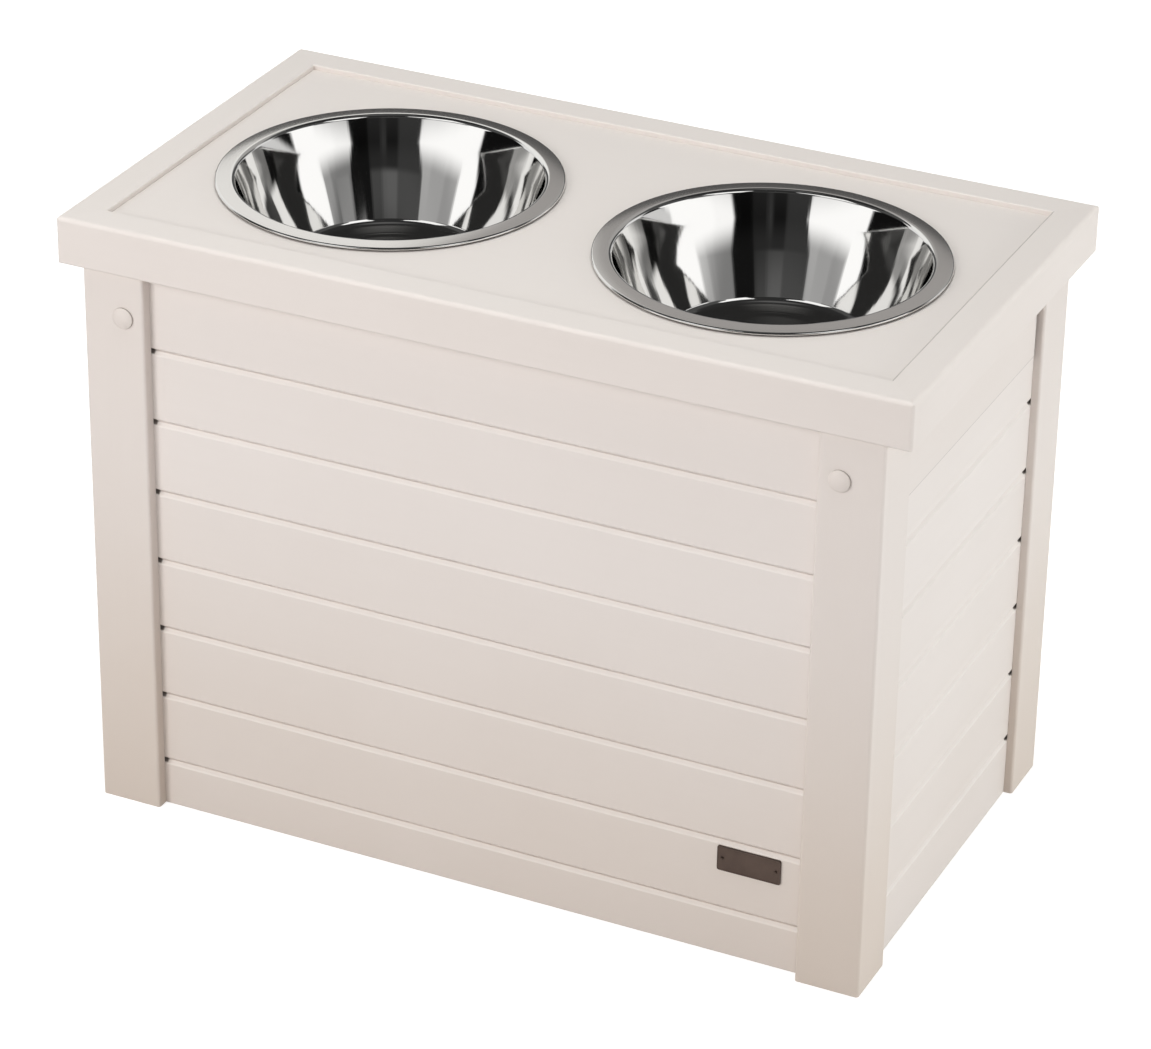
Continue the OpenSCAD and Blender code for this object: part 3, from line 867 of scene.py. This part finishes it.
# %% Polished and brushed steel
wall_colour = srgb(228, 227, 225)
flange_colour = srgb(222, 219, 216)
bead_shade_colour = srgb(74, 71, 68)
flange_start = (mouth_radius + 0.0012, mouth_radius + 0.0030)
bead_start = (rim_radius - 0.0018, rim_radius - 0.0008)
bead_shade_start = (rim_radius - 0.0014, rim_radius - 0.0009)
bead_shade_top = (0.0010, 0.0017)
dents_start = (0.035, 0.070)

stainless = bpy.data.materials.new("spun stainless steel")
net = Net(stainless)
x, y, z = net.axes(net.place())
side = x.step(-0.00001, 0.00001) * 2 - 1
from_x = x - side * bowl_x
from_y = y - bowl_y
height = z - field_z
radius = from_axis(from_x, from_y)
spun = net.node("ShaderNodeCombineXYZ", None, {0: radius, 1: height}).outputs[0]
rings = net.noise(spun, 2600.0, 3.0, 0.7)
around = net.node("ShaderNodeCombineXYZ", None, {0: from_x / radius, 1: from_y / radius, 2: side}).outputs[0]
streaks = 0.5 + (net.noise(around, 5.0, 5.0, 0.65) - 0.5) * radius.step(*dents_start)
flange = radius.step(*flange_start)
satin = flange * (1 - radius.step(*bead_start))
colour = net.colour_mix(satin, wall_colour, flange_colour)
# Painted shade: a thin dark line low on the outside of the bead
under_bead_shade = (1 - height.step(*bead_shade_top)) * radius.step(*bead_shade_start)
dents = net.bump(streaks * (1 - flange), 0.5, 0.00012)
net.show_skin({
    "Base Color": net.colour_mix(under_bead_shade, colour, bead_shade_colour),
    "Metallic": 1.0,
    "Roughness": 0.03 + 0.04 * streaks + 0.08 * satin + 0.06 * rings * satin,
    "Normal": net.bump(rings * satin, 0.05, 0.0002, under=dents),
})
print("steel ready")

# %% Spin the two bowls
spin_steps = 144

def fill_bowl(bm, side):
    """The visible face of the steel is spun, and the thickness goes behind it."""
    points = [bm.verts.new((p.x, 0, p.y)) for p in shifted(section, steel / 2)]
    edges = [bm.edges.new(pair) for pair in zip(points, points[1:])]
    bmesh.ops.spin(
        bm, geom=points + edges, cent=(0, 0, 0), axis=(0, 0, 1), angle=math.tau,
        steps=spin_steps, use_merge=True, use_duplicate=False,
    )
    bmesh.ops.remove_doubles(bm, verts=bm.verts, dist=merge_reach)
    bmesh.ops.recalc_face_normals(bm, faces=bm.faces)
    bmesh.ops.solidify(bm, geom=bm.faces, thickness=steel)
    bmesh.ops.translate(bm, vec=(side * bowl_x, bowl_y, field_z), verts=bm.verts)
    for face in bm.faces:
        face.smooth = True

for name, side in (("left", -1), ("right", 1)):
    bowl = new_object("spun_bowl_" + name, lambda bm: fill_bowl(bm, side), stainless)
    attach(bowl, "bowl_" + name)
    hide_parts("bowl_" + name)
    lows = [round(min(v.co[axis] for v in bowl.data.vertices), 5) for axis in range(3)]
    highs = [round(max(v.co[axis] for v in bowl.data.vertices), 5) for axis in range(3)]
    print(bowl.name, len(bowl.data.polygons), "faces", lows, highs)

# %% [markdown]
# ## The plate on the front wall
#
# A small cast plate of dark bronze is pinned low on the right of the front wall. It stays bare: a raised
# border round a plain field. It starts as one flat face whose corners are rounded. The face is extruded to
# the plate's thickness, inset and pushed back to leave the border, its sharp edges are eased, and the plate
# is stood up against the wall.

# %% Dark bronze
bronze_dark = srgb(58, 46, 40)
bronze_worn = srgb(104, 88, 79)

bronze = bpy.data.materials.new("dark bronze")
net = Net(bronze)
place = net.place()
cast = net.noise(place, 700.0, 4.0, 0.6)
worn = net.noise(place, 60.0, 2.0)
net.show_skin({
    "Base Color": net.colour_mix(0.5 * worn + 0.3 * cast, bronze_dark, bronze_worn),
    "Metallic": 0.75,
    "Roughness": 0.38 + 0.25 * cast,
    "Normal": net.bump(cast, 0.35, 0.0002),
})
print("bronze ready")

# %% Plate and pins
plate_middle = Vector((0.1965, front_wall_y, 0.0725))
plate_width = 0.0440
plate_height = 0.0180
plate_thick = 0.0014
plate_corner = 0.0013
plate_ease = 0.00018
border = 0.0011
border_rise = 0.0004
pin_radius = 0.0011
pin_rise = 0.0009
pin_root = 0.0010
pin_from_end = 0.0034

def fill_plate(bm):
    bmesh.ops.create_grid(bm, x_segments=1, y_segments=1, size=0.5)
    bmesh.ops.scale(bm, vec=(plate_width, plate_height, 1), verts=bm.verts)
    bmesh.ops.bevel(
        bm, geom=bm.verts[:], affect="VERTICES", offset=plate_corner, segments=4, profile=0.5, material=-1,
    )
    bmesh.ops.recalc_face_normals(bm, faces=bm.faces)
    if bm.faces[:][0].normal.z < 0:
        bmesh.ops.reverse_faces(bm, faces=bm.faces)
    raised = bmesh.ops.extrude_face_region(bm, geom=bm.faces[:])["geom"]
    top = [item for item in raised if isinstance(item, bmesh.types.BMFace)]
    corners = [item for item in raised if isinstance(item, bmesh.types.BMVert)]
    bmesh.ops.translate(bm, vec=(0, 0, plate_thick), verts=corners)
    bmesh.ops.inset_region(bm, faces=top, thickness=border, depth=-border_rise)
    bmesh.ops.recalc_face_normals(bm, faces=bm.faces)
    sharp = [edge for edge in bm.edges if edge.calc_face_angle(0) > math.radians(50)]
    bmesh.ops.bevel(
        bm, geom=sharp, affect="EDGES", offset=plate_ease, segments=2, profile=0.5, material=-1,
    )
    turn_mesh(bm, 90, "X")
    bmesh.ops.translate(bm, vec=plate_middle, verts=bm.verts)

def fill_pins(bm):
    """Two round-headed pins: a quarter circle spun about its axis."""
    for away in (-1, 1):
        middle = plate_middle + Vector((away * (plate_width / 2 - pin_from_end), -plate_thick, 0))
        turns = [math.pi / 2 * k / 6 for k in range(7)]
        arc = [bm.verts.new((pin_radius * math.cos(t), 0, pin_rise * math.sin(t))) for t in turns]
        foot = bm.verts.new((pin_radius, 0, -pin_root))
        line = [foot] + arc
        edges = [bm.edges.new(pair) for pair in zip(line, line[1:])]
        bmesh.ops.spin(
            bm, geom=line + edges, cent=(0, 0, 0), axis=(0, 0, 1), angle=math.tau,
            steps=20, use_merge=True, use_duplicate=False,
        )
        fresh = [v for v in bm.verts if not v.tag]
        bmesh.ops.rotate(bm, cent=(0, 0, 0), matrix=Matrix.Rotation(math.pi / 2, 3, "X"), verts=fresh)
        bmesh.ops.translate(bm, vec=middle, verts=fresh)
        for v in bm.verts:
            v.tag = True
    bmesh.ops.remove_doubles(bm, verts=bm.verts, dist=merge_reach)
    bmesh.ops.holes_fill(bm, edges=[edge for edge in bm.edges if edge.is_boundary], sides=0)
    bmesh.ops.recalc_face_normals(bm, faces=bm.faces)
    for face in bm.faces:
        face.smooth = True

for name, maker in (("blank_plate", fill_plate), ("plate_pins", fill_pins)):
    made = new_object(name, maker, bronze)
    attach(made, "cabinet")
    print(name, len(made.data.polygons), "faces")
